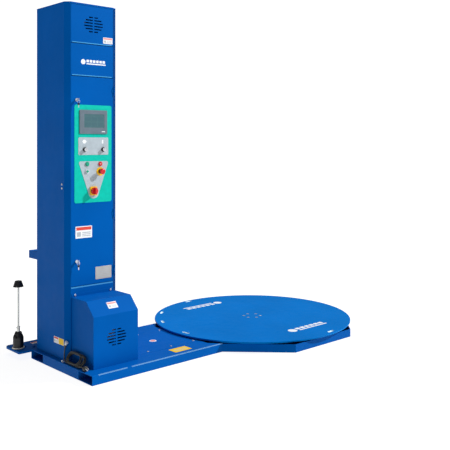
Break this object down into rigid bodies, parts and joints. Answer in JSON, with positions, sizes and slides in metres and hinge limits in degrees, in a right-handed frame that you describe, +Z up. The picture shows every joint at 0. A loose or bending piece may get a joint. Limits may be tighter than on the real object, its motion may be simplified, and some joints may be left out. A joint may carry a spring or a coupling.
{
  "type": "turntable pallet wrapper",
  "caption": "Turntable stretch wrapper: a round turntable turns a pallet load beside a mast with a control door, while a film carriage rides up the mast.",
  "frame": {"origin": "on the floor at the turntable axis", "axes": "+X from the mast towards the turntable, +Y from the control door side towards the film carriage side, +Z up"},
  "size_m": [2.753, 1.6498, 2.517],
  "materials": {
    "frame_blue": "satin",
    "table_blue": "satin",
    "zinc_steel": "satin",
    "chain_steel": "oiled",
    "motor_grey": "satin",
    "equipment_grey": "satin",
    "wheel_plastic": "satin",
    "roller_rubber": "matte",
    "roller_metal": "satin",
    "black_plastic": "satin",
    "teal_panel": "satin",
    "pale_plate": "satin",
    "screen_grey": "satin",
    "bezel_grey": "satin",
    "yellow_plastic": "gloss",
    "green_plastic": "gloss",
    "red_plastic": "gloss",
    "lock_metal": "polished",
    "label_film": "satin",
    "white_nylon": "satin",
    "cord_rubber": "matte"
  },
  "bodies": {
    "base": {"base_frame": "frame_blue", "fork_pockets": "frame_blue", "turntable_tray": "frame_blue", "chain_cover": "frame_blue", "panel_screws": "zinc_steel", "bearing_housing": "zinc_steel", "roller_brackets": "zinc_steel", "table_gearmotor": "motor_grey", "drive_chain": "chain_steel", "motor_cover": "frame_blue", "mast_shell": "frame_blue", "mast_cap": "frame_blue", "vent_panel": "frame_blue", "upper_panel": "frame_blue", "equipment_plate": "equipment_grey", "guide_rails": "zinc_steel", "lift_gearmotor": "motor_grey", "lift_chain": "chain_steel", "lift_idler_bracket": "zinc_steel", "cable_gland": "white_nylon", "power_cord": "cord_rubber", "cord_coil": "cord_rubber", "plug": "cord_rubber", "safety_labels": "label_film"},
    "turntable": {"turntable_disc": "table_blue", "turntable_hub": "zinc_steel", "hub_bolts": "zinc_steel"},
    "table_drive": {"table_sprocket": "zinc_steel"},
    "roller_1": {"support_roller_1": "wheel_plastic"},
    "roller_2": {"support_roller_2": "wheel_plastic"},
    "roller_3": {"support_roller_3": "wheel_plastic"},
    "roller_4": {"support_roller_4": "wheel_plastic"},
    "carriage": {"carriage_trolley": "zinc_steel", "carriage_frame": "frame_blue", "carriage_lower_plate": "frame_blue", "stretch_gearmotor": "motor_grey", "film_spindle_rod": "zinc_steel"},
    "stretch_a": {"stretch_roller_a": "roller_rubber"},
    "stretch_b": {"stretch_roller_b": "roller_rubber"},
    "idler": {"idler_roller": "roller_metal"},
    "core_hub": {"film_core_hub": "black_plastic"},
    "top_cone": {"film_top_cone": "black_plastic"},
    "lift_top": {"lift_sprocket_top": "zinc_steel"},
    "lift_bottom": {"lift_sprocket_bottom": "zinc_steel"},
    "door": {"control_door": "frame_blue", "fascia_panel": "teal_panel", "hmi_panel": "screen_grey", "control_plates": "pale_plate", "button_bezels": "bezel_grey", "yellow_bases": "yellow_plastic", "door_labels": "label_film"},
    "dial_left": {"knob_left": "black_plastic"},
    "dial_right": {"knob_right": "black_plastic"},
    "start": {"start_button": "green_plastic"},
    "stop": {"stop_button": "red_plastic"},
    "estop": {"estop_button": "red_plastic"},
    "main_switch": {"main_switch_handle": "red_plastic"},
    "lock_upper": {"key_lock_upper": "lock_metal"},
    "lock_lower": {"key_lock_lower": "lock_metal"}
  },
  "joints": [
    {"name": "table_turn", "type": "hinge", "parent": "base", "child": "turntable", "pos_m": [0, 0, 0.07], "axis": [0, 0, 1], "continuous": true},
    {"name": "table_drive_turn", "type": "hinge", "parent": "base", "child": "table_drive", "pos_m": [-1.584, -0.13, 0.05], "axis": [0, 0, 1], "continuous": true},
    {"name": "roller_1_turn", "type": "hinge", "parent": "base", "child": "roller_1", "pos_m": [0.45962, 0.45962, 0.0467], "axis": [0.7071, 0.7071, 0], "continuous": true},
    {"name": "roller_2_turn", "type": "hinge", "parent": "base", "child": "roller_2", "pos_m": [-0.45962, 0.45962, 0.0467], "axis": [-0.7071, 0.7071, 0], "continuous": true},
    {"name": "roller_3_turn", "type": "hinge", "parent": "base", "child": "roller_3", "pos_m": [-0.45962, -0.45962, 0.0467], "axis": [-0.7071, -0.7071, 0], "continuous": true},
    {"name": "roller_4_turn", "type": "hinge", "parent": "base", "child": "roller_4", "pos_m": [0.45962, -0.45962, 0.0467], "axis": [0.7071, -0.7071, 0], "continuous": true},
    {"name": "carriage_lift", "type": "slide", "parent": "base", "child": "carriage", "axis": [0, 0, 1], "range_m": [0, 1.7]},
    {"name": "lift_top_turn", "type": "hinge", "parent": "base", "child": "lift_top", "pos_m": [-1.5985, 0.282, 2.42], "axis": [1, 0, 0], "continuous": true},
    {"name": "lift_bottom_turn", "type": "hinge", "parent": "base", "child": "lift_bottom", "pos_m": [-1.5985, 0.282, 0.125], "axis": [1, 0, 0], "continuous": true},
    {"name": "stretch_a_turn", "type": "hinge", "parent": "carriage", "child": "stretch_a", "pos_m": [-1.64, 0.52, 0.4], "axis": [0, 0, 1], "continuous": true},
    {"name": "stretch_b_turn", "type": "hinge", "parent": "carriage", "child": "stretch_b", "pos_m": [-1.53, 0.52, 0.4], "axis": [0, 0, 1], "continuous": true},
    {"name": "idler_turn", "type": "hinge", "parent": "carriage", "child": "idler", "pos_m": [-1.645, 0.603, 0.4], "axis": [0, 0, 1], "continuous": true},
    {"name": "core_hub_turn", "type": "hinge", "parent": "carriage", "child": "core_hub", "pos_m": [-1.884, 0.5095, 0.1], "axis": [0, 0, 1], "continuous": true},
    {"name": "top_cone_turn", "type": "hinge", "parent": "carriage", "child": "top_cone", "pos_m": [-1.884, 0.5095, 0.53], "axis": [0, 0, 1], "continuous": true},
    {"name": "door_swing", "type": "hinge", "parent": "base", "child": "door", "pos_m": [-1.422, -0.0345, 1.289], "axis": [0, 0, 1], "range_deg": [0, 110]},
    {"name": "dial_left_turn", "type": "hinge", "parent": "door", "child": "dial_left", "pos_m": [-1.661, -0.0345, 1.506], "axis": [0, -1, 0], "range_deg": [-150, 150]},
    {"name": "dial_right_turn", "type": "hinge", "parent": "door", "child": "dial_right", "pos_m": [-1.512, -0.0345, 1.506], "axis": [0, -1, 0], "range_deg": [-150, 150]},
    {"name": "start_press", "type": "slide", "parent": "door", "child": "start", "axis": [0, 1, 0], "range_m": [0, 0.003], "stiffness_N_per_m": 400, "springref_m": -0.002},
    {"name": "stop_press", "type": "slide", "parent": "door", "child": "stop", "axis": [0, 1, 0], "range_m": [0, 0.003], "stiffness_N_per_m": 400, "springref_m": -0.002},
    {"name": "estop_press", "type": "slide", "parent": "door", "child": "estop", "axis": [0, 1, 0], "range_m": [0, 0.006], "stiffness_N_per_m": 500, "springref_m": -0.003},
    {"name": "main_switch_turn", "type": "hinge", "parent": "door", "child": "main_switch", "pos_m": [-1.5945, -0.0345, 1.217], "axis": [0, -1, 0], "range_deg": [0, 90]},
    {"name": "lock_upper_turn", "type": "hinge", "parent": "door", "child": "lock_upper", "pos_m": [-1.725, -0.0315, 1.847], "axis": [0, -1, 0], "range_deg": [0, 90]},
    {"name": "lock_lower_turn", "type": "hinge", "parent": "door", "child": "lock_lower", "pos_m": [-1.725, -0.0315, 0.738], "axis": [0, -1, 0], "range_deg": [0, 90]}
  ],
  "couplings": [
    {"joint": "table_drive_turn", "follows": "table_turn", "ratio": 4},
    {"joint": "roller_1_turn", "follows": "table_turn", "ratio": -27.083},
    {"joint": "roller_2_turn", "follows": "table_turn", "ratio": -27.083},
    {"joint": "roller_3_turn", "follows": "table_turn", "ratio": -27.083},
    {"joint": "roller_4_turn", "follows": "table_turn", "ratio": -27.083},
    {"joint": "lift_top_turn", "follows": "carriage_lift", "rad_per_m": 22.831},
    {"joint": "lift_bottom_turn", "follows": "carriage_lift", "rad_per_m": 22.831},
    {"joint": "stretch_b_turn", "follows": "stretch_a_turn", "ratio": -2.5}
  ]
}
